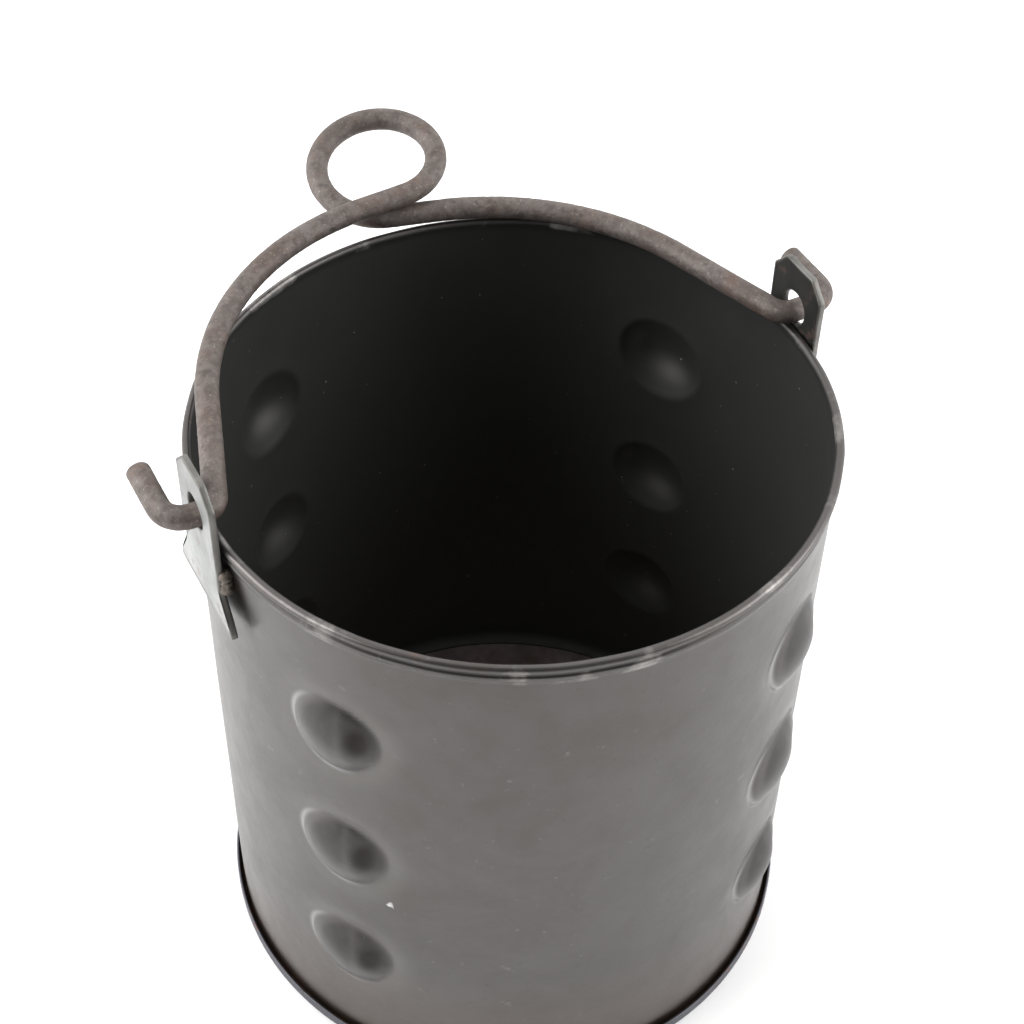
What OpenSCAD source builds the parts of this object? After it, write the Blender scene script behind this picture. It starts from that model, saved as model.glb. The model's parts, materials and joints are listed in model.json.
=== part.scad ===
// Small sheet-steel charcoal pail with a folding wire bail.
// Origin: centre of the underside. +Z up, X along the bail's hinge axis,
// and the bail lies folded towards +Y.

/* [Pail] */
// Outer diameter of the wall
pail_d = 110; // [100:1:130]
// Height from the table to the top of the curled rim
pail_h = 120.5; // [115:0.5:140]
// Thickness of the sheet
sheet_t = 0.6; // [0.5:0.05:0.8]
// Radius of the curl at the top of the wall
curl_r = 0.8; // [0.7:0.05:0.9]

/* [Dimples] */
// Diameter of each punched dimple where it meets the wall
dimple_d = 17.6; // [14:0.2:19]
// How far a dimple stands out of the wall
dimple_h = 2.3; // [1.2:0.1:2.4]
// Height of the lowest row of dimples
dimple_z = 29.5; // [20:0.5:32]
// Spacing of the rows
dimple_pitch = 32; // [22:1:32]

/* [Base] */
// How far the base pan's lip stands out past the wall
lip_out = 1.25; // [1.2:0.05:1.5]
// Height of the lip
lip_h = 2.5; // [2:0.1:4]

/* [Lugs] */
// Width of a lug at the bail hole
lug_w = 14.4; // [13:0.2:18]
// Width of a lug across its foot
lug_foot_w = 24; // [18:0.5:24]
// Thickness of the lug plate
lug_t = 1.15; // [1:0.05:1.4]
// Height of a lug above the rim
lug_rise = 12; // [11:0.5:14]
// Depth of a lug below the rim
lug_drop = 17; // [14:0.5:20]
// Diameter of the loose bail hole
lug_hole_d = 6.4; // [5.6:0.1:6.6]

/* [Bail] */
// Diameter of the bail wire
wire_d = 4.2; // [3:0.1:4.4]
// Centre-line radius of the bow, as a share of the pail's radius
bow_share = 0.88; // [0.87:0.005:0.89]
// Lean of each straight leg off square to the hinge axis
leg_lean = 18.5; // [17:0.5:20]
// Centre-line radius of the eye
eye_r = 11.2; // [9:0.2:13]
// Lean of the eye to the +X side
eye_lean = 5.5; // [0:0.5:8]
// Half of the angle at which the two strands cross below the eye
cross_half = 9; // [7:0.5:11]
// Upward tilt of the eye
eye_tilt = 8; // [0:1:12]
// Centre-line radius of the end hooks
hook_r = 4; // [3:0.2:5]
// Length of the straight end of a hook
hook_end = 9.2; // [6:0.2:11]
// Straight wire between the left lug and its hook
left_reach = 0.7; // [0.5:0.1:3]
// Straight wire between the right lug and its hook
right_reach = 2.8; // [0.5:0.1:4]

/* [Hidden] */
$fn = 96;

pail_r = pail_d / 2;
wire_r = wire_d / 2;

// Wall
curl_centre_r = pail_r - 0.1;
curl_z = pail_h - curl_r;
ridge_r = 0.9;
ridge_out = 0.45;
ridge_z = pail_h - 2.75;
foot_flange_r = pail_r + 0.7;
seam_angle = 75;
seam_half_w = 3;
seam_clear = 5;

// Dimples: columns by angle about Z, each a spherical cap of the chosen size
dimple_angles = [30, 120, 211, 303.5];
dimple_rows = [0, 1, 2];
dimple_sphere_r = (dimple_d * dimple_d / 4 + dimple_h * dimple_h) / (2 * dimple_h);
dimple_centre_r = pail_r + dimple_h - dimple_sphere_r;

// Hinge axis of the bail: the wire lies just above the rim when it is folded down
stop_gap = 0.3;
pivot_z = pail_h + stop_gap + wire_r;
lug_hole_z = pivot_z - wire_r - stop_gap + lug_hole_d / 2;
lug_x = pail_r + 0.8;
lug_waist_z = 9.5;
lug_corner = 3.3;

// Weld beads: a short row of drops that bridges lug and wall on both sides
weld_drop_r = 1.3;
weld_x = lug_x - 0.3;
weld_z = pail_h - 7;
weld_pitch = 1.4;

// Bow: a circle centred on the Y axis, with a straight leg tangent to it each side.
// The legs meet the hinge axis just inside the lugs.
bow_r = bow_share * pail_r;
leg_foot_x = pail_r - 1.5;
bow_y = (leg_foot_x - bow_r * cos(leg_lean)) / tan(leg_lean) - bow_r * sin(leg_lean);
bend_r = 3;
bend_turn = 90 - leg_lean;
bend_len = bend_r * tan(bend_turn / 2);
bend_start_x = leg_foot_x + bend_len;
leg_start = [leg_foot_x - bend_len * sin(leg_lean), bend_len * cos(leg_lean)];

// Eye: its circle and the bow's circle share two crossed tangent lines
eye_dist = (bow_r + eye_r) / cos(cross_half);
eye_dir = 90 - eye_lean;
eye_c = [eye_dist * cos(eye_dir), bow_y + eye_dist * sin(eye_dir)];
left_leave = eye_dir + cross_half;
right_leave = eye_dir - cross_half;
eye_start = left_leave - 180;
eye_end = right_leave + 180;
eye_low_y = eye_c.y - eye_r;
// The left strand climbs from its bend, so that it passes over the right one
strand_gap = 0.15;
climb = atan((wire_d + strand_gap) / (eye_low_y - leg_start.y));

// Rings along the sweeps
bow_steps = 18;
eye_steps = 48;
line_steps = 4;
bend_steps = 7;
hook_steps = 8;
ring_sides = 16;
// Where a sweep meets a pivot, a narrower root sinks into it
root_len = 0.4;
root_share = 0.9;
neck_len = 0.12;

// ---------- shapes shared by several parts ----------

// Places its child at every dimple, with +X pointing out of the wall
module at_dimples() {
    for (angle = dimple_angles)
        for (row = dimple_rows)
            rotate([0, 0, angle])
                translate([dimple_centre_r, 0, dimple_z + row * dimple_pitch])
                    children();
}

// ---------- wall ----------

// Ring of round section about the Z axis
module round_ring(centre_r, section_r) {
    rotate_extrude()
        translate([centre_r, 0])
            circle(r = section_r);
}

module wall_outside() {
    translate([0, 0, sheet_t]) {
        cylinder(r = pail_r, h = curl_z - sheet_t);
        cylinder(r = foot_flange_r, h = sheet_t);
    }
    translate([0, 0, ridge_z])
        round_ring(pail_r + ridge_out - ridge_r, ridge_r);
    at_dimples() sphere(r = dimple_sphere_r);
    translate([0, 0, seam_clear]) side_seam();
}

// Lapped side seam of the rolled sheet, on the outside
module side_seam() {
    rotate([0, 0, seam_angle])
        intersection() {
            difference() {
                cylinder(r = pail_r + sheet_t, h = pail_h - 2 * seam_clear);
                translate([0, 0, -1])
                    cylinder(r = pail_r - sheet_t / 2, h = pail_h);
            }
            translate([pail_r - 5, -seam_half_w, 0])
                cube([10, 2 * seam_half_w, pail_h]);
        }
}

module wall() {
    color([0.30, 0.29, 0.28]) {
        difference() {
            wall_outside();
            translate([0, 0, -1])
                cylinder(r = pail_r - sheet_t, h = pail_h + 2);
            at_dimples() sphere(r = dimple_sphere_r - sheet_t);
        }
        translate([0, 0, curl_z])
            round_ring(curl_centre_r, curl_r);
    }
}

// ---------- base pan ----------

module base_pan() {
    color([0.22, 0.23, 0.25]) {
        cylinder(r = pail_r + lip_out, h = sheet_t);
        difference() {
            cylinder(r = pail_r + lip_out, h = lip_h);
            translate([0, 0, sheet_t])
                cylinder(r = foot_flange_r, h = lip_h);
        }
    }
}

// ---------- lugs ----------

// Outline of a lug in its own plane: x across, y up from the rim
module lug_outline() {
    w = lug_w / 2;
    f = lug_foot_w / 2;
    polygon([
        [-f, -lug_drop], [f, -lug_drop], [w, -lug_waist_z],
        [w, lug_rise - lug_corner], [w - lug_corner, lug_rise],
        [lug_corner - w, lug_rise], [-w, lug_rise - lug_corner], [-w, -lug_waist_z]
    ]);
}

module lug() {
    color([0.36, 0.36, 0.35])
        difference() {
            translate([lug_x, 0, pail_h])
                rotate([90, 0, 90])
                    linear_extrude(height = lug_t)
                        lug_outline();
            translate([lug_x - 1, 0, lug_hole_z])
                rotate([0, 90, 0])
                    cylinder(d = lug_hole_d, h = lug_t + 2);
        }
}

module right_lug() {
    lug();
}

module left_lug() {
    rotate([0, 0, 180]) lug();
}

// Weld beads on the two upright edges of a lug
module lug_welds() {
    color([0.42, 0.36, 0.29])
        for (side = [-1, 1])
            for (k = [-1, 0, 1])
                translate([weld_x, side * lug_w / 2, weld_z + k * weld_pitch])
                    sphere(r = weld_drop_r, $fn = 32);
}

module right_lug_welds() {
    lug_welds();
}

module left_lug_welds() {
    rotate([0, 0, 180]) lug_welds();
}

// ---------- bail ----------

function on_circle(c, r, angle) = [c.x + r * cos(angle), c.y + r * sin(angle)];
function smooth(u) = u * u * (3 - 2 * u);
function mix2(p, q, u) = p * (1 - u) + q * u;

// The left strand lies in a plane that climbs from the start of its leg
function climbed(p) =
    let (y = p.y - leg_start.y)
    [p.x, leg_start.y + y * cos(climb), y * sin(climb)];
function level(p) = [p.x, p.y, 0];
function mirrored(p) = [-p.x, p.y];

// Centre line of the bow and the eye: crossed tangent, full turn, crossed tangent
bow_c = [0, bow_y];
left_tangent = on_circle(bow_c, bow_r, left_leave);
right_tangent = on_circle(bow_c, bow_r, right_leave);
eye_entry = on_circle(eye_c, eye_r, eye_start);
eye_exit = on_circle(eye_c, eye_r, eye_end);

function left_bow(u) = climbed(on_circle(bow_c, bow_r, 180 - leg_lean + u * (left_leave - 180 + leg_lean)));
function right_bow(u) = level(on_circle(bow_c, bow_r, right_leave + u * (leg_lean - right_leave)));
function entry_point(u) = climbed(mix2(left_tangent, eye_entry, u));
function exit_point(u) = level(mix2(eye_exit, right_tangent, u));
function eye_rise(p) = ((p - eye_entry) * [cos(eye_dir), sin(eye_dir)]) * tan(eye_tilt);
function eye_point(u) =
    let (p = on_circle(eye_c, eye_r, eye_start + u * (eye_end - eye_start)))
    mix2(climbed(p), level(p), smooth(u)) + [0, 0, eye_rise(p)];

// A bend away from the X axis: x is where it starts, and way is 1 or -1 along X
function bent(x, way, radius, turn) = [x + way * radius * sin(turn), radius - radius * cos(turn)];

// Start of a sweep at a pivot: a ring inside the pivot, two at the neck, then the bend
function from_pivot(x, way, radius, turn, steps) = concat(
    [[x - way * root_len, 0]],
    [for (k = [1, 2]) bent(x, way, radius, k * neck_len / radius * 180 / PI)],
    [for (i = [1 : steps]) bent(x, way, radius, turn * i / steps)]
);

bend = from_pivot(bend_start_x, -1, bend_r, bend_turn, bend_steps);
bow_path = concat(
    [for (p = bend) level(mirrored(p))],
    [for (i = [0 : bow_steps]) left_bow(i / bow_steps)],
    [for (i = [1 : line_steps - 1]) entry_point(i / line_steps)],
    [for (i = [0 : eye_steps]) eye_point(i / eye_steps)],
    [for (i = [1 : line_steps - 1]) exit_point(i / line_steps)],
    [for (i = [0 : bow_steps]) right_bow(i / bow_steps)],
    [for (i = [len(bend) - 1 : -1 : 0]) level(bend[i])]
);

// Sweeps a ring along a path that never runs upright. The path starts with a root,
// and it ends with one too if both is true.
module swept_wire(path, both) {
    n = len(path);
    m = ring_sides;
    function radius(i) = (i < 2 || (both && i > n - 3)) ? root_share * wire_r : wire_r;
    function heading(i) = path[min(i + 1, n - 1)] - path[max(i - 1, 0)];
    function unit(v) = v / norm(v);
    function ring(i) =
        let (t = unit(heading(i)), side = unit(cross(t, [0, 0, 1])), up = cross(side, t))
        [for (k = [0 : m - 1]) path[i] + radius(i) * (cos(360 * k / m) * side + sin(360 * k / m) * up)];
    points = [for (i = [0 : n - 1]) each ring(i)];
    sides = [
        for (i = [0 : n - 2]) for (k = [0 : m - 1])
            [i * m + k, i * m + (k + 1) % m, (i + 1) * m + (k + 1) % m, (i + 1) * m + k]
    ];
    caps = [[for (k = [m - 1 : -1 : 0]) k], [for (k = [0 : m - 1]) (n - 1) * m + k]];
    polyhedron(points = points, faces = concat(sides, caps), convexity = 6);
}

// Round pivot through the lug's hole, and the hook outside it, on the +X side
module bail_end(reach) {
    hook_x = lug_x + lug_t + reach;
    hook = from_pivot(hook_x, 1, hook_r, 90, hook_steps);
    translate([bend_start_x, 0, 0])
        rotate([0, 90, 0])
            cylinder(r = wire_r, h = hook_x - bend_start_x);
    swept_wire([for (p = concat(hook, [[hook_x + hook_r, hook_r + hook_end]])) level(p)], false);
}

module bail() {
    color([0.33, 0.28, 0.26])
        translate([0, 0, pivot_z]) {
            bail_end(right_reach);
            rotate([0, 180, 0]) bail_end(left_reach);
            swept_wire(bow_path, true);
        }
}

wall();
base_pan();
right_lug();
left_lug();
right_lug_welds();
left_lug_welds();
bail();
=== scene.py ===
import json
import math

import bpy
import numpy as np
from mathutils import Matrix, Vector, noise


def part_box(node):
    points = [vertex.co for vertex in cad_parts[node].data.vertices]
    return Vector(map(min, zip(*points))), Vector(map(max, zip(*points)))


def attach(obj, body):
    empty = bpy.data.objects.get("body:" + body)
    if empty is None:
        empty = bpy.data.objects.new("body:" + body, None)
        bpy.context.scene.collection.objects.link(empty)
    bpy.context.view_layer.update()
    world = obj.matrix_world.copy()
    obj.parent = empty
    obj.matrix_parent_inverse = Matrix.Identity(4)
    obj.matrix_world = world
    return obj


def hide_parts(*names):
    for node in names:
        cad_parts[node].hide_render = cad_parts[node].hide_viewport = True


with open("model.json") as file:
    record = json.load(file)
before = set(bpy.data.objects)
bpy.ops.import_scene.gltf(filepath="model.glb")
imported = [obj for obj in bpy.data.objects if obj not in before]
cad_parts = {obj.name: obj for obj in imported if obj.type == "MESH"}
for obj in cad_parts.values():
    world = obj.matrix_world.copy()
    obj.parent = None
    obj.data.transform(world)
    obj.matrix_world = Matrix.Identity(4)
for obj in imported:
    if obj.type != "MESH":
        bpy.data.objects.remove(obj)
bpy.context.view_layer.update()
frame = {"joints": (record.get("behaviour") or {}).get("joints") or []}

MM = 0.001

# ---------------------------------------------------------------- measures
# Boxes of the CAD nodes give every size below. Lengths are in metres.
_, WALL_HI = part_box("wall")
_, PAN_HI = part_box("base_pan")
LUG_LO, LUG_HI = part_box("right_lug")
JOINT = frame["joints"][0]
HINGE_Z = JOINT["pos_m"][2]

SHEET = 0.6 * MM
RIM_Z = WALL_HI.z
PAN_R = PAN_HI.x
LIP_H = PAN_HI.z
R = PAN_R - 1.25 * MM              # outer radius of the wall
WIRE_R = HINGE_Z - RIM_Z - 0.3 * MM


def fbm(points, scale, octaves=3, seed=0.0):
    """Smooth noise, about -1 to 1, at each row of points."""
    out = np.empty(len(points))
    off = Vector((seed * 3.1, seed * 1.7, seed * 2.3))
    for i, p in enumerate(points):
        q = Vector(p) * scale + off
        total, amp, norm = 0.0, 1.0, 0.0
        for _ in range(octaves):
            total += amp * noise.noise(q)
            norm += amp
            amp *= 0.5
            q = q * 2.03
        out[i] = total / norm * 1.6
    return out


# ---------------------------------------------------------------- mesh helpers
def make_mesh(name, verts, faces, flip=False):
    mesh = bpy.data.meshes.new(name)
    order = -1 if flip else 1
    mesh.from_pydata([tuple(v) for v in verts], [], [tuple(f)[::order] for f in faces])
    mesh.validate()
    mesh.update()
    mesh.polygons.foreach_set("use_smooth", [True] * len(mesh.polygons))
    obj = bpy.data.objects.new(name, mesh)
    bpy.context.scene.collection.objects.link(obj)
    return obj


def grid_faces(rows, cols, wrap_cols=True, wrap_rows=False):
    """Quads of a grid whose vertex (i, j) is number i * cols + j."""
    i = np.arange(rows if wrap_rows else rows - 1)
    j = np.arange(cols if wrap_cols else cols - 1)
    ii, jj = np.meshgrid(i, j, indexing="ij")
    i2 = (ii + 1) % rows
    j2 = (jj + 1) % cols
    a = ii * cols + jj
    b = ii * cols + j2
    c = i2 * cols + j2
    d = i2 * cols + jj
    return np.stack([a, b, c, d], -1).reshape(-1, 4)


def point_attribute(obj, name, values):
    attribute = obj.data.attributes.new(name, "FLOAT", "POINT")
    attribute.data.foreach_set("value", np.asarray(values, np.float32))


def smoothstep(a, b, x):
    t = np.clip((x - a) / (b - a), 0, 1)
    return t * t * (3 - 2 * t)


def arc(cx, cz, r, a0, a1, n):
    """Points of an arc in the (radius, height) plane, angles in degrees."""
    a = np.radians(np.linspace(a0, a1, n))
    return np.stack([cx + r * np.cos(a), cz + r * np.sin(a)], 1)


# ---------------------------------------------------------------- wall
DIMPLE_COLUMNS = [math.radians(a) for a in (30, 120, 211, 303.5)]
DIMPLE_ROWS = [(29.5 + 32 * k) * MM for k in range(3)]
DIMPLE_R = 8.85 * MM
DIMPLE_H = 2.35 * MM
SEAM_AT = math.radians(75)


def build_wall():
    cols = 840
    rows_out = 200
    curl_r, curl_c = 0.8 * MM, (R - 0.1 * MM, RIM_Z - 0.8 * MM)
    ridge_r, ridge_c = 0.9 * MM, (R - 0.45 * MM, RIM_Z - 2.75 * MM)
    # Outside, from the foot flange up to the underside of the ridge
    foot = np.array([
        [R + 0.7 * MM, SHEET], [R + 0.7 * MM, SHEET + 0.45 * MM], [R + 0.55 * MM, SHEET + 0.6 * MM],
        [R + 0.25 * MM, SHEET + 0.65 * MM], [R + 0.06 * MM, SHEET + 0.9 * MM], [R, SHEET + 1.4 * MM],
    ])
    z = np.linspace(SHEET + 2.0 * MM, ridge_c[1] - 1.7 * MM, rows_out)
    side = np.stack([np.full_like(z, R), z], 1)
    fillet = np.array([[R + 0.02 * MM, ridge_c[1] - 1.25 * MM], [R + 0.08 * MM, ridge_c[1] - 0.95 * MM]])
    ridge = arc(*ridge_c, ridge_r, -48, 42, 9)
    groove = np.array([[R + 0.02 * MM, ridge_c[1] + 0.98 * MM]])
    curl = arc(*curl_c, curl_r, -38, 205, 22)
    # Inside, from the curl down to the floor
    z_in = np.linspace(curl_c[1] - 1.1 * MM, SHEET + 2.6 * MM, rows_out * 3 // 4)
    inside = np.stack([np.full_like(z_in, R - SHEET), z_in], 1)
    corner = arc(R - SHEET - 2.2 * MM, SHEET + 2.3 * MM, 2.2 * MM, 0, -88, 7)
    under = np.array([[R - SHEET - 1.2 * MM, SHEET]])
    profile = np.concatenate([foot, side, fillet, ridge, groove, curl, inside, corner, under])
    r, z = profile[:, 0], profile[:, 1]
    rows = len(profile)
    theta = np.arange(cols) / cols * 2 * np.pi
    rr, tt = np.meshgrid(r, theta, indexing="ij")
    zz, _ = np.meshgrid(z, theta, indexing="ij")
    n_out = len(foot) + len(side)
    is_wall = np.zeros(rows, bool)
    is_wall[len(foot):n_out] = True
    start_in = n_out + len(fillet) + len(ridge) + len(groove) + len(curl)
    is_wall[start_in:start_in + len(inside)] = True

    # Punched dimples: a shallow dome with a crisp edge below and a soft one above
    push = np.zeros_like(rr)
    painted_dome_shade, painted_dent_shade, painted_crease_highlight, painted_hollow_highlight, painted_light_ring = (np.zeros_like(rr) for _ in range(5))
    for column in DIMPLE_COLUMNS:
        for k, row in enumerate(DIMPLE_ROWS):
            u = (tt - column + np.pi) % (2 * np.pi) - np.pi
            u = u * R
            v = zz - row
            wob = 1 + 0.04 * math.sin(7 * column + 2.3 * k)
            spin = 0.5 * math.sin(3 * column + 1.7 * k)
            # The dome peaks beside its middle, with a steep flank on that side
            skew = u - 0.16 * v
            bearing = np.arctan2(v, u)
            d = np.hypot(u, v) / (DIMPLE_R * wob * (1 + 0.03 * np.sin(3 * bearing + spin)))
            peak = 0.26 * DIMPLE_R
            shift = np.hypot(skew - peak * (1 - np.clip(d, 0, 1)), v) / (DIMPLE_R * wob)
            e = np.clip(0.55 * d + 0.45 * shift, 0, None)
            dome = np.clip(1 - e * e, 0, None)
            # Soft shoulder above, crisp crease below
            soft = smoothstep(-0.3, 0.9, v / DIMPLE_R) * 0.5
            lift = DIMPLE_H * ((1 - soft) * dome + soft * dome ** 1.5) * (d < 1)
            # A dent where the tip of the punch slipped, right of the peak
            pocket = np.exp(-(((u - 5.0 * MM) / (1.7 * MM)) ** 2 + ((v - 1.6 * MM) / (2.6 * MM)) ** 2))
            lift -= 0.34 * MM * pocket * (d < 1)
            halo = 0.14 * MM * np.exp(-((d - 1.0) / 0.2) ** 2) * (d >= 1)
            push += np.where(d < 1, lift - 0.14 * MM * smoothstep(0.86, 1.0, d), -halo)
            # Painted shade on the dome, eased along a band down its middle; painted shade in the dent; a
            # painted highlight along the crease round the lower left; painted light in a ring round the dome;
            # a painted highlight low in the hollow inside
            off = np.hypot(u - 0.14 * DIMPLE_R, v - 0.12 * DIMPLE_R) / DIMPLE_R
            band = np.exp(-((u - 0.24 * DIMPLE_R + 0.1 * v) / (0.9 * MM)) ** 2)
            painted_dome_shade += (1 - smoothstep(0.72, 0.93, off)) * (1 - 0.45 * band) * (d < 1.04)
            painted_dent_shade += np.exp(-(((u - 5.1 * MM) / (2.0 * MM)) ** 2 + ((v - 2.2 * MM) / (3.1 * MM)) ** 2) ** 1.8)
            side = smoothstep(-0.1, 0.75, np.cos(bearing - math.radians(205)))
            painted_crease_highlight += np.exp(-((d - 1.0) / 0.055) ** 2) * side
            painted_light_ring += np.exp(-((d - 1.15) / 0.28) ** 2) * smoothstep(0.96, 1.06, d)
            patch = ((u + 1.5 * MM) / (3.6 * MM)) ** 2 + ((v + 3.6 * MM) / (2.6 * MM)) ** 2
            painted_hollow_highlight += np.exp(-patch) * (d < 1)
    # The sheet isn't perfectly round: long soft waves
    long_wave = (
        0.10 * np.sin(2 * tt + 0.6) + 0.05 * np.sin(5 * tt + 40 * zz)
        + 0.05 * np.sin(3 * tt - 55 * zz + 1.0) + 0.03 * np.sin(9 * tt + 120 * zz)
    ) * MM
    edge = smoothstep(0, 12 * MM, zz) * smoothstep(0, 9 * MM, RIM_Z - zz)
    push += long_wave * edge
    # Lapped side seam on the outside
    along = ((tt - SEAM_AT + np.pi) % (2 * np.pi) - np.pi) * R
    lap = 0.55 * MM * smoothstep(-3.3 * MM, -2.8 * MM, along) * (1 - smoothstep(2.8 * MM, 3.3 * MM, along))
    lap = lap * smoothstep(5 * MM, 5.6 * MM, zz) * (1 - smoothstep(RIM_Z - 5.6 * MM, RIM_Z - 5 * MM, zz))
    outside = np.zeros(rows, bool)
    outside[:n_out] = True
    rr = rr + push * is_wall[:, None] + lap * (is_wall & outside)[:, None]
    # The rim wavers a little where it was curled by hand
    rim_rows = np.zeros(rows, bool)
    rim_rows[n_out:start_in] = True
    waver = (0.05 * np.sin(11 * theta + 0.4) + 0.04 * np.sin(23 * theta + 1.9)) * MM
    rr = rr + rim_rows[:, None] * np.minimum(waver, 0)[None, :]
    x, y = rr * np.cos(tt), rr * np.sin(tt)
    verts = np.stack([x, y, zz], -1).reshape(-1, 3)
    faces = grid_faces(rows, cols, True, True)
    obj = make_mesh("wall_sheet", verts, faces)
    inner = np.zeros(rows)
    inner[start_in:] = 1
    curl_start = n_out + len(fillet) + len(ridge) + len(groove)
    inner[curl_start:start_in] = smoothstep(0.62, 0.95, np.linspace(0, 1, len(curl)))
    rim = np.zeros(rows)
    rim[n_out:start_in] = 1
    # rows of the groove between ridge and curl, for its painted shade
    groove_shade_rows = np.zeros(rows)
    groove_shade_rows[n_out + len(fillet) + len(ridge) - 2:curl_start + 3] = 1
    point_attribute(obj, "inner", np.repeat(inner, cols))
    point_attribute(obj, "rim", np.repeat(rim, cols))
    point_attribute(obj, "groove", np.repeat(groove_shade_rows, cols))
    marks = {"painted_dome_shade": painted_dome_shade, "painted_dent_shade": painted_dent_shade, "painted_crease_highlight": painted_crease_highlight, "painted_hollow_highlight": painted_hollow_highlight, "painted_light_ring": painted_light_ring}
    for name, values in marks.items():
        point_attribute(obj, name, np.clip(values, 0, 1).ravel())
    # Painted shadow, tinted rust brown, in strips where the lugs stand off the wall
    across = np.abs(y) - 9.6 * MM - 1.5 * MM * smoothstep(RIM_Z - 8 * MM, RIM_Z - 17 * MM, zz)
    gap_shadow_and_rust = np.exp(-(across / (1.5 * MM)) ** 2) * smoothstep(LUG_LO.z - 1.5 * MM, LUG_LO.z + 3 * MM, zz)
    gap_shadow_and_rust = gap_shadow_and_rust * (1 - smoothstep(RIM_Z - 5.5 * MM, RIM_Z - 3.5 * MM, zz)) * (np.abs(x) > 0.8 * R)
    point_attribute(obj, "gap_shadow_and_rust", (gap_shadow_and_rust * outside[:, None]).ravel())
    return obj


# ---------------------------------------------------------------- base pan
def build_base_pan():
    cols = 720
    lip_in = R + 0.72 * MM
    floor_r = np.linspace(0.5 * MM, R - SHEET - 1.5 * MM, 30)
    top = np.stack([floor_r, np.full_like(floor_r, SHEET)], 1)
    groove = np.array([[R, SHEET], [lip_in - 0.02 * MM, SHEET], [lip_in, SHEET + 0.1 * MM]])
    lip_z = np.linspace(SHEET + 0.4 * MM, LIP_H - 0.3 * MM, 6)
    lip_inner = np.stack([np.full_like(lip_z, lip_in), lip_z], 1)
    lip_top = arc((lip_in + PAN_R) / 2, LIP_H - 0.27 * MM, (PAN_R - lip_in) / 2, 180, 0, 9)
    out_z = np.linspace(LIP_H - 0.5 * MM, 0.45 * MM, 8)
    lip_outer = np.stack([np.full_like(out_z, PAN_R), out_z], 1)
    bottom_edge = arc(PAN_R - 0.4 * MM, 0.4 * MM, 0.4 * MM, -8, -90, 6)
    under_r = np.linspace(R - 1.5 * MM, 0.5 * MM, 12)
    under = np.stack([under_r, np.zeros_like(under_r)], 1)
    profile = np.concatenate([top, groove, lip_inner, lip_top, lip_outer, bottom_edge, under])
    rows = len(profile)
    theta = np.arange(cols) / cols * 2 * np.pi
    rr, tt = np.meshgrid(profile[:, 0], theta, indexing="ij")
    zz, _ = np.meshgrid(profile[:, 1], theta, indexing="ij")
    n0 = len(top) + len(groove)
    lip = np.zeros(rows)
    lip[n0:n0 + len(lip_inner) + len(lip_top) + 2] = 1
    # The lip's height and thickness waver as on a hand-formed edge
    ring = np.stack([np.cos(theta), np.sin(theta), np.zeros_like(theta)], 1)
    waver = fbm(ring, 5.0, 3, 3.0)
    notch = np.clip(fbm(ring, 14.0, 2, 9.0) - 0.45, 0, None)
    drop = -0.10 * MM * (1 - waver) - 0.5 * MM * notch
    zz = zz + (lip[:, None] * smoothstep(SHEET, LIP_H, zz)) * drop[None, :]
    x, y = rr * np.cos(tt), rr * np.sin(tt)
    verts = np.stack([x, y, zz], -1).reshape(-1, 3)
    faces = [tuple(f) for f in grid_faces(rows, cols, True, False)]
    faces.append(tuple(range(cols - 1, -1, -1)))
    faces.append(tuple((rows - 1) * cols + j for j in range(cols)))
    obj = make_mesh("base_pan_sheet", verts, faces, flip=True)
    floor = np.zeros(rows)
    floor[:len(top)] = 1
    lip_face = np.zeros(rows)
    lip_face[n0:n0 + len(lip_inner) + len(lip_top) + len(lip_outer)] = 1
    # rows of the crevice by the wall's foot, for painted shade and rust
    crevice_shade_and_rust = np.zeros(rows)
    crevice_shade_and_rust[len(top):n0 + 3] = 1
    point_attribute(obj, "floor", np.repeat(floor, cols))
    point_attribute(obj, "lip", np.repeat(lip_face, cols))
    point_attribute(obj, "crevice_shade_and_rust", np.repeat(crevice_shade_and_rust, cols))
    return obj


# ---------------------------------------------------------------- lugs
def rounded_outline(corners, radii, steps=6):
    """A polygon with rounded corners, as a list of points."""
    out = []
    n = len(corners)
    for i in range(n):
        p = np.array(corners[i])
        a = np.array(corners[i - 1]) - p
        b = np.array(corners[(i + 1) % n]) - p
        la, lb = np.linalg.norm(a), np.linalg.norm(b)
        a, b = a / la, b / lb
        half = math.acos(np.clip(a @ b, -1, 1)) / 2
        cut = min(radii[i] / math.tan(half), 0.45 * la, 0.45 * lb)
        for t in np.linspace(0, 1, steps):
            q0, q1 = p + a * cut, p + b * cut
            out.append((1 - t) ** 2 * q0 + 2 * t * (1 - t) * p + t * t * q1)
    return np.array(out)


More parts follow.
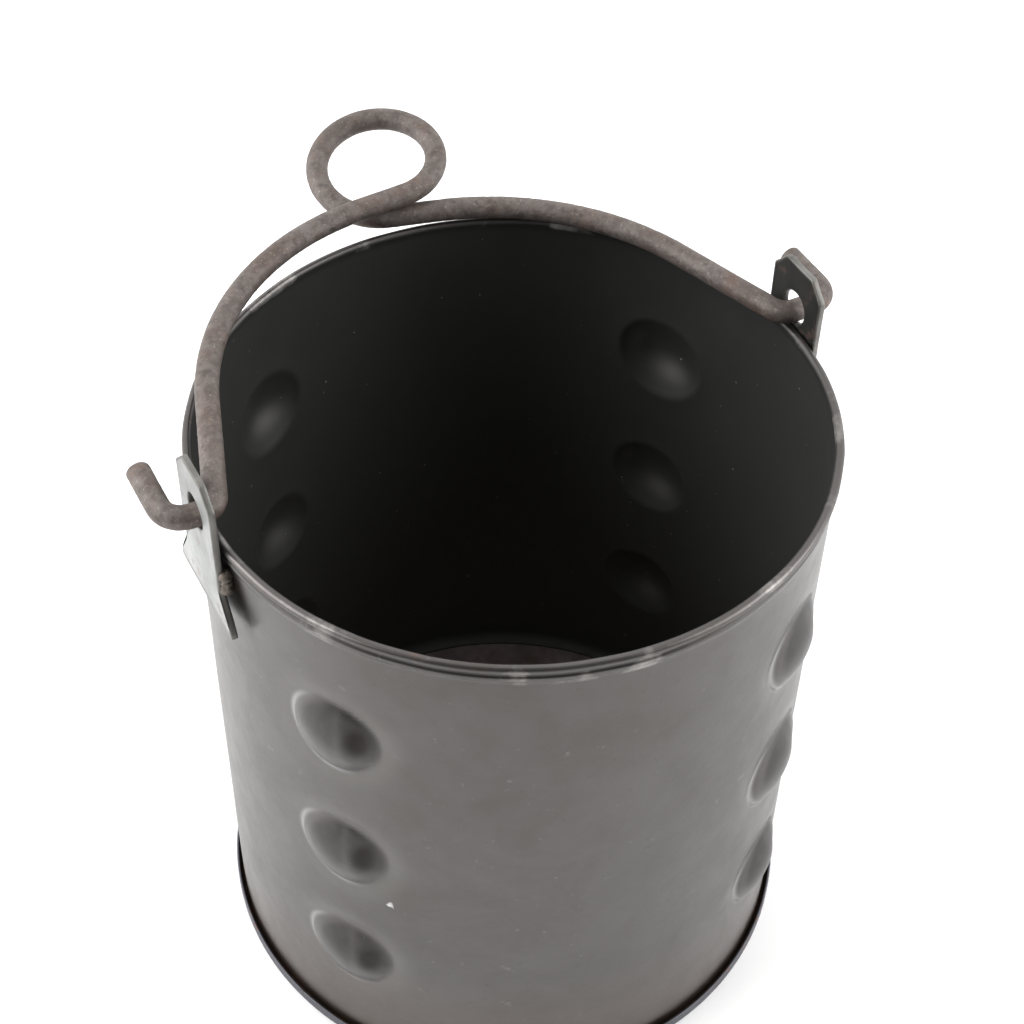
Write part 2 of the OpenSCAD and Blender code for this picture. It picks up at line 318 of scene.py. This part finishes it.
def build_lug(name, seed, turn):
    """Plate with a hole, its inner face at the CAD plate's inner face."""
    x_in, x_out = LUG_LO.x, LUG_HI.x
    thick = x_out - x_in
    top, foot = LUG_HI.z, LUG_LO.z
    f = LUG_HI.y
    w = 7.2 * MM
    waist_z = RIM_Z - 9.5 * MM
    cut = 3.3 * MM
    corners = [
        (-f, foot), (f, foot), (w, waist_z), (w, top - cut), (w - cut, top),
        (cut - w, top), (-w, top - cut), (-w, waist_z),
    ]
    radii = [m * MM for m in (1.2, 1.2, 4, 0.7, 0.9, 0.9, 0.7, 4)]
    outline = rounded_outline(corners, radii)
    hole_r, hole_z = 3.2 * MM, RIM_Z + 3.2 * MM
    # Resample the outline by angle about the hole, so that rings join hole and edge
    centre = np.array([0, hole_z])
    closed = np.concatenate([outline, outline[:1]])
    seg = np.linalg.norm(np.diff(closed, axis=0), axis=1)
    s = np.concatenate([[0], np.cumsum(seg)])
    n = 220
    t = np.linspace(0, s[-1], n, endpoint=False)
    edge = np.stack([np.interp(t, s, closed[:, 0]), np.interp(t, s, closed[:, 1])], 1)
    ang = np.arctan2(edge[:, 1] - hole_z, edge[:, 0])
    hole = centre + hole_r * np.stack([np.cos(ang), np.sin(ang)], 1)
    normal = np.roll(edge, -1, 0) - np.roll(edge, 1, 0)
    normal = np.stack([normal[:, 1], -normal[:, 0]], 1)
    normal /= np.linalg.norm(normal, axis=1)[:, None]
    bevel = 0.16 * MM
    rings = []          # (points, x) from the hole's bore outwards over each face

    def face_ring(share, x, inset=0.0):
        p = hole * (1 - share) + edge * share
        if inset:
            p = p - normal * inset
        rings.append((p, np.full(n, x)))

    hb = (np.stack([np.cos(ang), np.sin(ang)], 1)) * bevel
    shares = [0.06, 0.14, 0.25, 0.38, 0.52, 0.66, 0.8, 0.9]
    rings.append((hole, np.full(n, x_out - bevel)))
    rings.append((hole + hb * 0.4, np.full(n, x_out - bevel * 0.35)))
    rings.append((hole + hb, np.full(n, x_out)))
    for share in shares:
        face_ring(share, x_out)
    face_ring(1, x_out, bevel * 1.3)
    face_ring(1, x_out - bevel * 0.3, bevel * 0.45)
    face_ring(1, x_out - bevel)
    for u in (0.35, 0.65):
        face_ring(1, x_out - bevel + (2 * bevel - thick) * u)
    face_ring(1, x_in + bevel)
    face_ring(1, x_in + bevel * 0.3, bevel * 0.45)
    face_ring(1, x_in, bevel * 1.3)
    for share in shares[::-1]:
        face_ring(share, x_in)
    rings.append((hole + hb, np.full(n, x_in)))
    rings.append((hole + hb * 0.4, np.full(n, x_in + bevel * 0.35)))
    rings.append((hole, np.full(n, x_in + bevel)))
    rings.append((hole, np.full(n, (x_in + x_out) / 2)))
    pts = np.array([np.stack([x, p[:, 0], p[:, 1]], 1) for p, x in rings]).reshape(-1, 3)
    # Sheared, hand-cut edges and a plate that isn't quite flat
    ripple = fbm(pts, 190, 3, seed) * 0.10 * MM
    away = np.repeat(np.array([1.0 if 3 <= i <= len(rings) - 5 else 0.0 for i in range(len(rings))]), n)
    towards = np.stack([pts[:, 1], pts[:, 2] - hole_z], 1)
    towards /= np.maximum(np.linalg.norm(towards, axis=1)[:, None], 1e-9)
    pts[:, 1:] -= towards * (np.abs(ripple) * away)[:, None]
    if turn:
        pts = pts * np.array([-1, -1, 1])
    faces = grid_faces(len(rings), n, True, True)
    obj = make_mesh(name, pts, faces, flip=True)
    # Masks for the lug's colour: edges that get wear with a painted highlight, and the outer face, which gets
    # painted light
    is_edge = np.zeros(len(rings))
    first = 3 + len(shares)
    is_edge[first:first + 8] = 1
    is_edge[:3] = 0.7
    is_edge[-4:] = 0.7
    point_attribute(obj, "edge", np.repeat(is_edge, n))
    point_attribute(obj, "outer", np.repeat((np.arange(len(rings)) < first).astype(float), n))
    return obj


# ---------------------------------------------------------------- welds
def lump(centre, size, seed, seg=40):
    """A lumpy drop of weld metal as rings of a sphere with noise."""
    rows = seg // 2
    phi = np.linspace(0, np.pi, rows + 1)[1:-1]
    th = np.arange(seg) / seg * 2 * np.pi
    pp, tt = np.meshgrid(phi, th, indexing="ij")
    unit = np.stack([np.sin(pp) * np.cos(tt), np.sin(pp) * np.sin(tt), np.cos(pp)], -1).reshape(-1, 3)
    unit = np.concatenate([[[0, 0, 1]], unit, [[0, 0, -1]]])
    ripple = 1 + 0.13 * fbm(unit, 2.4, 3, seed) + 0.05 * np.sin(unit[:, 2] * 9 + seed)
    verts = np.array(centre) + unit * np.array(size) * np.minimum(ripple, 1.04)[:, None]
    faces = []
    for j in range(seg):
        faces.append((0, 1 + j, 1 + (j + 1) % seg))
    for i in range(rows - 2):
        for j in range(seg):
            a = 1 + i * seg + j
            b = 1 + i * seg + (j + 1) % seg
            faces.append((a, a + seg, b + seg, b))
    last = len(verts) - 1
    base = 1 + (rows - 2) * seg
    for j in range(seg):
        faces.append((last, base + (j + 1) % seg, base + j))
    return verts, faces


def build_welds(name, node, seed):
    lo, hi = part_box(node)
    cx = (lo.x + hi.x) / 2
    rx = (hi.x - lo.x) / 2
    cz = (lo.z + hi.z) / 2
    rz = (hi.z - lo.z) / 2
    r = 1.3 * MM
    verts, faces = [], []
    for side in (-1, 1):
        cy = side * (hi.y - r)
        for drop, share in ((-1, 0.97), (0, 0.8), (1, 0.92)):
            centre = (cx, cy, cz + drop * (rz - r))
            v, f = lump(centre, (rx * share, r * share, r * 0.98), seed + side + 1.7 * drop)
            base = sum(len(x) for x in verts)
            verts.append(v)
            faces += [tuple(base + k for k in q) for q in f]
    return make_mesh(name, np.concatenate(verts), faces)


# ---------------------------------------------------------------- bail
def bail_line():
    """Centre line of the wire, from the end of the left hook to the end of the right one."""
    bow_r = 0.88 * R
    lean = math.radians(18.5)
    foot_x = R - 1.5 * MM
    bow_y = (foot_x - bow_r * math.cos(lean)) / math.tan(lean) - bow_r * math.sin(lean)
    tangent = np.array([bow_r * math.cos(lean), bow_y + bow_r * math.sin(lean)])
    bend_r = 3 * MM
    bend_turn = math.pi / 2 - lean
    bend_len = bend_r * math.tan(bend_turn / 2)
    bend_x = foot_x + bend_len
    leg = np.array([foot_x - bend_len * math.sin(lean), bend_len * math.cos(lean)])
    eye_r = 11.2 * MM
    cross = math.radians(9)
    eye_dir = math.radians(90 - 5.5)
    dist = (bow_r + eye_r) / math.cos(cross)
    bow_c = np.array([0, bow_y])
    eye_c = bow_c + dist * np.array([math.cos(eye_dir), math.sin(eye_dir)])
    tilt = math.tan(math.radians(8))
    climb = math.atan((2 * WIRE_R + 0.15 * MM) / (eye_c[1] - eye_r - leg[1]))
    lug_x, lug_t = LUG_LO.x, LUG_HI.x - LUG_LO.x

    def on(c, r, a):
        return np.stack([c[0] + r * np.cos(a), c[1] + r * np.sin(a)], -1)

    def level(p):
        return np.concatenate([p, np.zeros((len(p), 1))], 1)

    def climbed(p):
        y = p[:, 1] - leg[1]
        return np.stack([p[:, 0], leg[1] + y * math.cos(climb), y * math.sin(climb)], 1)

    def line(p, q, n):
        t = np.linspace(0, 1, n)[:, None]
        return np.asarray(p) * (1 - t) + np.asarray(q) * t

    def end(reach):
        """Hook end, hook, pivot and bend on the +X side, from the tip inwards."""
        hx = lug_x + lug_t + reach
        hook_r, hook_end = 4 * MM, 9.2 * MM
        c = np.array([hx, hook_r])
        return [
            line((hx + hook_r, hook_r + hook_end), (hx + hook_r, hook_r), 14),
            on(c, hook_r, np.linspace(0, -math.pi / 2, 16)),
            line((hx, 0), (bend_x, 0), 8),
            on(np.array([bend_x, bend_r]), bend_r, np.linspace(-math.pi / 2, -math.pi / 2 - bend_turn, 14)),
        ]

    flip = np.array([-1, 1])
    left_leave, right_leave = eye_dir + cross, eye_dir - cross
    left_tangent, right_tangent = on(bow_c, bow_r, left_leave), on(bow_c, bow_r, right_leave)
    start, stop = left_leave - math.pi, right_leave + math.pi
    entry, leave = on(eye_c, eye_r, start), on(eye_c, eye_r, stop)
    pieces = [level(p * flip) for p in end(0.7 * MM)]
    pieces.append(climbed(line(leg, tangent, 10) * flip))
    pieces.append(climbed(on(bow_c, bow_r, np.linspace(math.pi - lean, left_leave, 90))))
    pieces.append(climbed(line(left_tangent, entry, 14)))
    u = np.linspace(0, 1, 120)
    turn = on(eye_c, eye_r, start + u * (stop - start))
    s = (u * u * (3 - 2 * u))[:, None]
    rise = ((turn - entry) @ np.array([math.cos(eye_dir), math.sin(eye_dir)])) * tilt
    eye = climbed(turn) * (1 - s) + level(turn) * s
    eye[:, 2] += rise
    pieces.append(eye)
    pieces.append(level(line(leave, right_tangent, 14)))
    pieces.append(level(on(bow_c, bow_r, np.linspace(right_leave, lean, 80))))
    pieces.append(level(line(tangent, leg, 10)))
    pieces += [level(p)[::-1] for p in end(2.8 * MM)[::-1]]
    path = np.concatenate(pieces)
    path[:, 2] += HINGE_Z
    keep = np.concatenate([[True], np.linalg.norm(np.diff(path, axis=0), axis=1) > 1e-6])
    return path[keep]


def resample(path, step):
    seg = np.linalg.norm(np.diff(path, axis=0), axis=1)
    s = np.concatenate([[0], np.cumsum(seg)])
    n = int(round(s[-1] / step))
    t = np.linspace(0, s[-1], n + 1)
    return np.stack([np.interp(t, s, path[:, k]) for k in range(3)], 1)


def build_bail():
    path = resample(bail_line(), (0.45) * MM)
    # Ease the corners where arcs meet lines, as in a bent wire
    for _ in range(3):
        path[1:-1] = (path[:-2] + 2 * path[1:-1] + path[2:]) / 4
    sides = 36
    n = len(path)
    tangent = np.gradient(path, axis=0)
    tangent /= np.linalg.norm(tangent, axis=1)[:, None]
    side = np.cross(tangent, np.array([0, 0, 1.0]))
    side /= np.linalg.norm(side, axis=1)[:, None]
    up = np.cross(side, tangent)
    a = np.arange(sides) / sides * 2 * np.pi
    ring_dir = np.cos(a)[None, :, None] * side[:, None, :] + np.sin(a)[None, :, None] * up[:, None, :]
    pts = path[:, None, :] + ring_dir * WIRE_R
    flat = pts.reshape(-1, 3)
    # Forged, scaled surface: broad flats, pits and grain, never outside the wire's own radius
    broad = fbm(flat, 260, 2, 1.0)
    pits = np.clip(fbm(flat, 900, 3, 4.0) - 0.15, 0, None)
    grain = fbm(flat, 2300, 2, 8.0)
    sink = (0.035 * (1 - broad) / 2 + 0.10 * pits + 0.022 * (1 - grain)) * MM
    inner = flat - np.repeat(path, sides, 0)
    flat = flat - inner / WIRE_R * sink[:, None]
    # Square-cut ends with a worn edge
    verts = [flat]
    faces = [tuple(f) for f in grid_faces(n, sides, True, False)]
    count = len(flat)
    body = flat.reshape(n, sides, 3)
    for end in (0, n - 1):
        out = -tangent[end] if end == 0 else tangent[end]
        previous = end * sides
        for shrink, push in ((0.96, 0.07), (0.87, 0.13), (0.6, 0.15), (0.25, 0.13)):
            ring = path[end] + (body[end] - path[end]) * shrink + out * push * MM
            wob = fbm(ring, 700, 2, 6.0 + end)[:, None] * 0.05 * MM
            ring = ring + out * np.minimum(wob, 0)
            verts.append(ring)
            for j in range(sides):
                j2 = (j + 1) % sides
                quad = (previous + j, previous + j2, count + j2, count + j)
                faces.append(quad[::-1] if end == 0 else quad)
            previous = count
            count += sides
        cap = tuple(previous + j for j in range(sides))
        faces.append(cap[::-1] if end == 0 else cap)
    verts = np.concatenate(verts)
    obj = make_mesh("bail_wire", verts, faces, flip=True)
    point_attribute(obj, "pit", np.concatenate([pits, np.zeros(len(verts) - len(pits))]))
    return obj


# ---------------------------------------------------------------- materials
class Nodes:
    """A small helper to wire up a procedural material."""

    def __init__(self, name):
        self.mat = bpy.data.materials.new(name)
        self.mat.use_nodes = True
        self.tree = self.mat.node_tree
        self.tree.nodes.clear()
        self.out = self.tree.nodes.new("ShaderNodeOutputMaterial")
        self.bsdf = self.tree.nodes.new("ShaderNodeBsdfPrincipled")
        self.tree.links.new(self.bsdf.outputs[0], self.out.inputs["Surface"])
        self.coord = self.tree.nodes.new("ShaderNodeTexCoord")

    def link(self, a, b):
        self.tree.links.new(a, b)

    def put(self, socket, value):
        if hasattr(value, "node"):
            self.link(value, socket)
        else:
            socket.default_value = value

    def noise(self, scale, detail=4.0, rough=0.55, vector=None, distortion=0.0):
        n = self.tree.nodes.new("ShaderNodeTexNoise")
        self.link(vector or self.coord.outputs["Object"], n.inputs["Vector"])
        n.inputs["Scale"].default_value = scale
        n.inputs["Detail"].default_value = detail
        n.inputs["Roughness"].default_value = rough
        n.inputs["Distortion"].default_value = distortion
        return n.outputs["Fac"]

    def attribute(self, name):
        n = self.tree.nodes.new("ShaderNodeAttribute")
        n.attribute_name = name
        return n.outputs["Fac"]

    def ramp(self, fac, stops):
        n = self.tree.nodes.new("ShaderNodeValToRGB")
        e = n.color_ramp.elements
        while len(e) > 1:
            e.remove(e[-1])
        for i, (pos, col) in enumerate(stops):
            el = e[0] if i == 0 else e.new(pos)
            el.position = pos
            el.color = (*col, 1) if hasattr(col, "__len__") else (col, col, col, 1)
        self.link(fac, n.inputs["Fac"])
        return n.outputs["Color"]

    def math(self, op, a, b=0.0, clamp=False):
        n = self.tree.nodes.new("ShaderNodeMath")
        n.operation = op
        n.use_clamp = clamp
        self.put(n.inputs[0], a)
        self.put(n.inputs[1], b)
        return n.outputs[0]

    def mix(self, fac, a, b, mode="MIX"):
        n = self.tree.nodes.new("ShaderNodeMix")
        n.data_type = "RGBA"
        n.blend_type = mode
        n.clamp_factor = True
        self.put(n.inputs[0], fac)
        for socket, value in ((n.inputs[6], a), (n.inputs[7], b)):
            self.put(socket, (*value, 1) if isinstance(value, tuple) and len(value) == 3 else value)
        return n.outputs[2]

    def bump(self, height, strength, distance, normal=None):
        n = self.tree.nodes.new("ShaderNodeBump")
        n.inputs["Strength"].default_value = strength
        n.inputs["Distance"].default_value = distance
        self.link(height, n.inputs["Height"])
        if normal:
            self.link(normal, n.inputs["Normal"])
        return n.outputs[0]

    def position(self):
        n = self.tree.nodes.new("ShaderNodeSeparateXYZ")
        self.link(self.coord.outputs["Object"], n.inputs[0])
        return n.outputs

    def set(self, **values):
        for key, value in values.items():
            self.put(self.bsdf.inputs[key.replace("_", " ")], value)


# A chip in the scale, low at the front left
CHIP_AT = (R * math.cos(math.radians(220.4)), R * math.sin(math.radians(220.4)), 50.3 * MM)


def sheet_steel():
    m = Nodes("sheet_steel")
    z = m.position()[2]
    big = m.noise(28, 4, 0.6)
    fine = m.noise(420, 3, 0.6)
    mottle = m.noise(140, 5, 0.65, distortion=0.4)
    base = m.ramp(big, [(0.3, (0.074, 0.068, 0.064)), (0.7, (0.090, 0.084, 0.082))])
    base = m.mix(m.ramp(mottle, [(0.35, 0.0), (0.75, 0.25)]), base, (0.064, 0.056, 0.049))
    base = m.mix(m.ramp(fine, [(0.66, 0.0), (0.8, 0.4)]), base, (0.26, 0.25, 0.24))
    cloud = m.ramp(m.noise(75, 4, 0.6, distortion=0.6), [(0.38, 0.0), (0.68, 0.35)])
    base = m.mix(cloud, base, (0.108, 0.101, 0.103))
    dirt = m.ramp(m.noise(650, 2, 0.5), [(0.68, 0.0), (0.74, 0.5)])
    base = m.mix(dirt, base, (0.07, 0.062, 0.056))
    spot_at = m.tree.nodes.new("ShaderNodeVectorMath")
    spot_at.operation = "DISTANCE"
    m.link(m.coord.outputs["Object"], spot_at.inputs[0])
    spot_at.inputs[1].default_value = CHIP_AT
    near = m.math("ADD", spot_at.outputs["Value"], m.math("MULTIPLY", m.noise(900, 2, 0.5), 2.4 * MM))
    chip = m.math("MULTIPLY", m.math("SUBTRACT", 2.0 * MM, near), 1 / (0.5 * MM), True)
    base = m.mix(chip, base, (0.55, 0.55, 0.54))
    # Dimples: painted shade on the dome, painted light in a ring round it, painted shade in the dent and a
    # painted highlight along the crease
    patchy = m.ramp(m.noise(330, 4, 0.6), [(0.3, 0.58), (0.7, 0.84)])
    # painted shade darkens each dome, less along a band down its middle
    base = m.mix(m.math("MULTIPLY", m.attribute("painted_dome_shade"), patchy), base, (0.030, 0.0285, 0.028))
    # painted light in a ring round each dome
    base = m.mix(m.math("MULTIPLY", m.attribute("painted_light_ring"), 0.28), base, (0.165, 0.158, 0.150))
    # painted shade in the dent beside each dome's peak
    base = m.mix(m.math("MULTIPLY", m.attribute("painted_dent_shade"), 0.9), base, (0.009, 0.0065, 0.0055))
    # painted highlight along the crease round the lower left of each dome
    base = m.mix(m.math("MULTIPLY", m.attribute("painted_crease_highlight"), 0.7), base, (0.36, 0.355, 0.35))
    # painted shadow of the crevice, mixed with rust brown, along the foot of the wall where it meets the base
    # pan
    ragged = m.math("MULTIPLY", m.noise(190, 5, 0.7), 5.5 * MM)
    foot = m.math("SUBTRACT", 1.0, m.math("MULTIPLY", m.math("SUBTRACT", z, ragged), 1 / (1.4 * MM)), True)
    base = m.mix(m.math("MULTIPLY", foot, 0.85), base, m.ramp(m.noise(150, 4, 0.6), [
        (0.42, (0.010, 0.009, 0.008)), (0.6, (0.075, 0.036, 0.024))]))
    # painted shadow, tinted rust brown, where the lugs stand off the wall
    gap_shadow_and_rust = m.math("MULTIPLY", m.attribute("gap_shadow_and_rust"), m.ramp(m.noise(230, 5, 0.7), [(0.32, 0.35), (0.5, 1.0)]))
    base = m.mix(gap_shadow_and_rust, base, (0.018, 0.012, 0.009))
    # Paler brown tint towards the bottom of the wall, fading out 30 mm up
    low = m.math("SUBTRACT", 1.0, m.math("MULTIPLY", z, 1 / (30 * MM)), True)
    base = m.mix(m.math("MULTIPLY", low, 0.35), base, (0.15, 0.105, 0.08))
    # Soot inside, made paler with depth: painted light that evens out the shade deep in the pail
    soot_noise = m.noise(60, 5, 0.6)
    soot = m.ramp(soot_noise, [(0.3, (0.008, 0.0082, 0.0078)), (0.75, (0.013, 0.0132, 0.0122))])
    painted_depth_light = m.math("MULTIPLY", m.math("SUBTRACT", RIM_Z, z), 1 / RIM_Z, True)
    soot = m.mix(painted_depth_light, soot, (0.062, 0.063, 0.058))
    speck = m.ramp(m.noise(900, 1, 0.4), [(0.79, 0.0), (0.82, 0.6)])
    soot = m.mix(speck, soot, (0.30, 0.28, 0.26))
    # painted highlight low in each dimple's hollow, seen from inside
    soot = m.mix(m.math("MULTIPLY", m.attribute("painted_hollow_highlight"), 0.30), soot, (0.34, 0.33, 0.32))
    inner = m.attribute("inner")
    colour = m.mix(inner, base, soot)
    # painted shade in the groove between the rim's ridge and curl
    groove = m.attribute("groove")
    colour = m.mix(m.math("MULTIPLY", groove, 0.5), colour, (0.02, 0.018, 0.017))
    # Worn bright metal and rust here and there on the rim
    rim = m.attribute("rim")
    wear = m.math("MULTIPLY", rim, m.ramp(m.noise(75, 5, 0.6), [(0.56, 0.0), (0.68, 0.8)]))
    colour = m.mix(wear, colour, (0.30, 0.285, 0.27))
    rust = m.math("MULTIPLY", rim, m.ramp(m.noise(48, 4, 0.6), [(0.62, 0.0), (0.75, 0.6)]))
    colour = m.mix(rust, colour, (0.16, 0.085, 0.055))
    rough = m.mix(inner, m.ramp(mottle, [(0.3, 0.30), (0.75, 0.38)]), (0.66, 0.66, 0.66))
    metal = m.mix(inner, (0.85, 0.85, 0.85), (0.05, 0.05, 0.05))
    m.set(Base_Color=colour, Roughness=rough, Metallic=metal)
    n = m.bump(m.noise(260, 4, 0.6), 0.10, 0.0004)
    m.put(m.bsdf.inputs["Normal"], m.bump(fine, 0.08, 0.0002, n))
    return m.mat


def base_steel():
    m = Nodes("base_steel")
    big = m.noise(60, 4, 0.6)
    colour = m.ramp(big, [(0.3, (0.085, 0.085, 0.095)), (0.7, (0.14, 0.138, 0.15))])
    floor = m.attribute("floor")
    ash = m.ramp(m.noise(160, 5, 0.65), [(0.42, (0.19, 0.15, 0.145)), (0.7, (0.31, 0.25, 0.245))])
    colour = m.mix(floor, colour, ash)
    rust = m.ramp(m.noise(120, 5, 0.7), [(0.52, 0.0), (0.64, 1.0)])
    colour = m.mix(m.math("MULTIPLY", rust, 0.4), colour, (0.13, 0.06, 0.035))
    lip_tint = m.math("MULTIPLY", m.attribute("lip"), m.ramp(m.noise(95, 4, 0.6), [(0.35, 0.9), (0.7, 0.5)]))
    colour = m.mix(lip_tint, colour, (0.060, 0.062, 0.076))
    chips = m.math("MULTIPLY", m.attribute("lip"), m.ramp(m.noise(260, 4, 0.65), [(0.6, 0.0), (0.66, 0.9)]))
    colour = m.mix(chips, colour, (0.10, 0.05, 0.035))
    # painted shade, tinted rust brown, in the crevice between the wall's foot and the pan's lip
    crevice_shade_and_rust = m.attribute("crevice_shade_and_rust")
    colour = m.mix(m.math("MULTIPLY", crevice_shade_and_rust, 0.9), colour, (0.02, 0.008, 0.006))
    metal = m.math("SUBTRACT", 0.45, m.math("MULTIPLY", floor, 0.45))
    m.set(Base_Color=colour, Roughness=m.ramp(big, [(0.3, 0.4), (0.7, 0.55)]), Metallic=metal)
    m.put(m.bsdf.inputs["Normal"], m.bump(m.noise(500, 4, 0.6), 0.2, 0.0003))
    return m.mat


def lug_steel():
    m = Nodes("lug_steel")
    big = m.noise(90, 5, 0.6)
    colour = m.ramp(big, [(0.3, (0.075, 0.08, 0.075)), (0.7, (0.15, 0.15, 0.14))])
    outer = m.ramp(m.noise(130, 5, 0.6), [(0.3, (0.20, 0.205, 0.20)), (0.7, (0.36, 0.365, 0.36))])
    # Painted shade makes the plate near black, as seen on its wall-facing face; the outer face gets painted
    # light, a lighter grey
    colour = m.mix(0.8, colour, (0.014, 0.014, 0.0135))
    colour = m.mix(m.attribute("outer"), colour, outer)
    # edges lighter: wear, with a painted highlight where the edge catches the light
    edge = m.attribute("edge")
    edge_wear_and_highlight = m.ramp(m.noise(150, 5, 0.65), [(0.35, (0.09, 0.09, 0.08)), (0.65, (0.22, 0.21, 0.195))])
    colour = m.mix(m.math("MULTIPLY", edge, 0.8), colour, edge_wear_and_highlight)
    rust = m.ramp(m.noise(210, 4, 0.6), [(0.58, 0.0), (0.7, 0.7)])
    colour = m.mix(rust, colour, (0.14, 0.09, 0.07))
    m.set(Base_Color=colour, Roughness=m.ramp(big, [(0.3, 0.38), (0.7, 0.52)]), Metallic=0.5)
    m.put(m.bsdf.inputs["Normal"], m.bump(m.noise(420, 4, 0.6), 0.25, 0.0003))
    return m.mat


def weld_metal():
    m = Nodes("weld_metal")
    colour = m.ramp(m.noise(500, 4, 0.6), [(0.35, (0.035, 0.027, 0.022)), (0.65, (0.20, 0.17, 0.14))])
    m.set(Base_Color=colour, Roughness=0.62, Metallic=0.4)
    m.put(m.bsdf.inputs["Normal"], m.bump(m.noise(900, 4, 0.6), 0.5, 0.0004))
    return m.mat


def bail_wire():
    m = Nodes("bail_wire")
    big = m.noise(55, 4, 0.6)
    colour = m.ramp(big, [
        (0.3, (0.098, 0.076, 0.065)), (0.5, (0.128, 0.107, 0.097)), (0.72, (0.15, 0.132, 0.125)),
    ])
    rust = m.ramp(m.noise(170, 5, 0.65), [(0.5, 0.0), (0.68, 0.6)])
    colour = m.mix(rust, colour, (0.115, 0.066, 0.046))
    scale = m.ramp(m.noise(480, 5, 0.7), [(0.42, 0.0), (0.6, 0.6)])
    colour = m.mix(scale, colour, (0.060, 0.047, 0.041))
    speck = m.ramp(m.noise(1700, 3, 0.6), [(0.6, 0.0), (0.72, 0.45)])
    colour = m.mix(speck, colour, (0.33, 0.28, 0.25))
    dark = m.ramp(m.attribute("pit"), [(0.05, 0.0), (0.5, 0.7)])
    colour = m.mix(dark, colour, (0.05, 0.038, 0.033))
    m.set(Base_Color=colour, Roughness=m.ramp(big, [(0.3, 0.55), (0.7, 0.68)]), Metallic=0.35)
    n = m.bump(m.noise(700, 4, 0.65), 0.35, 0.0004)
    m.put(m.bsdf.inputs["Normal"], m.bump(m.noise(2400, 2, 0.6), 0.25, 0.0002, n))
    return m.mat


def plain(name, colour, rough):
    m = Nodes(name)
    m.set(Base_Color=(*colour, 1), Roughness=rough)
    return m.mat


# ---------------------------------------------------------------- pieces
def dress(obj, material, node, body):
    obj.data.materials.append(material)
    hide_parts(node)
    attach(obj, body)


lug_material, weld_material = lug_steel(), weld_metal()
dress(build_wall(), sheet_steel(), "wall", "pail")
dress(build_base_pan(), base_steel(), "base_pan", "pail")
dress(build_lug("lug_right", 2.0, False), lug_material, "right_lug", "pail")
dress(build_lug("lug_left", 5.0, True), lug_material, "left_lug", "pail")
for name, node, seed in (("welds_right", "right_lug_welds", 3.0), ("welds_left", "left_lug_welds", 8.0)):
    dress(build_welds(name, node, seed), weld_material, node, "pail")
dress(build_bail(), bail_wire(), "bail", "bail")


# ---------------------------------------------------------------- floor, light and camera
def area_light(name, where, aim, size, power, colour=(1, 1, 1)):
    data = bpy.data.lights.new(name, "AREA")
    data.shape = "RECTANGLE"
    data.size, data.size_y = size
    data.energy = power
    data.color = colour
    obj = bpy.data.objects.new(name, data)
    bpy.context.scene.collection.objects.link(obj)
    obj.location = where
    obj.rotation_mode = "QUATERNION"
    obj.rotation_quaternion = (Vector(aim) - Vector(where)).to_track_quat("-Z", "Y")
    return obj


bpy.ops.mesh.primitive_plane_add(size=8, location=(0, 0, 0))
ground = bpy.context.object
ground.name = "floor_sheet"
ground.data.materials.append(plain("pale_floor", (0.9, 0.9, 0.9), 0.6))

area_light("softbox_left", (-0.62, 0.22, 0.42), (0, 0, 0.05), (0.7, 0.6), 7.2)
area_light("softbox_right", (0.52, -0.42, 0.38), (0, 0, 0.05), (0.6, 0.6), 5.2)

world = bpy.data.worlds.new("studio")
bpy.context.scene.world = world
world.use_nodes = True
background = world.node_tree.nodes["Background"]
# White room with its dark side above and behind the camera
DARK_SIDE = Vector((-0.43, -0.80, 0.30)).normalized()
sky = world.node_tree
coord = sky.nodes.new("ShaderNodeTexCoord")
facing = sky.nodes.new("ShaderNodeVectorMath")
facing.operation = "DOT_PRODUCT"
sky.links.new(coord.outputs["Generated"], facing.inputs[0])
facing.inputs[1].default_value = DARK_SIDE
fade = sky.nodes.new("ShaderNodeMapRange")
fade.interpolation_type = "SMOOTHSTEP"
sky.links.new(facing.outputs["Value"], fade.inputs["Value"])
fade.inputs["From Min"].default_value = 0.1
fade.inputs["From Max"].default_value = 0.75
fade.inputs["To Min"].default_value = 1.75
fade.inputs["To Max"].default_value = 0.13
sky.links.new(fade.outputs["Result"], background.inputs["Strength"])
background.inputs["Color"].default_value = (1, 1, 1, 1)
bpy.context.scene.view_settings.view_transform = "Standard"

# The camera stands to the left of the front and looks down into the pail
camera = bpy.data.cameras.new("camera")
camera.lens = 69.33
camera.sensor_width = 36
camera.clip_start, camera.clip_end = 0.01, 50
eye = bpy.data.objects.new("camera", camera)
bpy.context.scene.collection.objects.link(eye)
CAMERA_AT = (-0.1167, -0.2149, 0.3468)
right = Vector((0.8864, -0.4626, 0.0164))
forward = Vector((0.3342, 0.6153, -0.7140))
right.normalize()
forward.normalize()
up = right.cross(forward)
eye.matrix_world = Matrix((
    (right.x, up.x, -forward.x, CAMERA_AT[0]),
    (right.y, up.y, -forward.y, CAMERA_AT[1]),
    (right.z, up.z, -forward.z, CAMERA_AT[2]),
    (0, 0, 0, 1),
))
bpy.context.scene.camera = eye
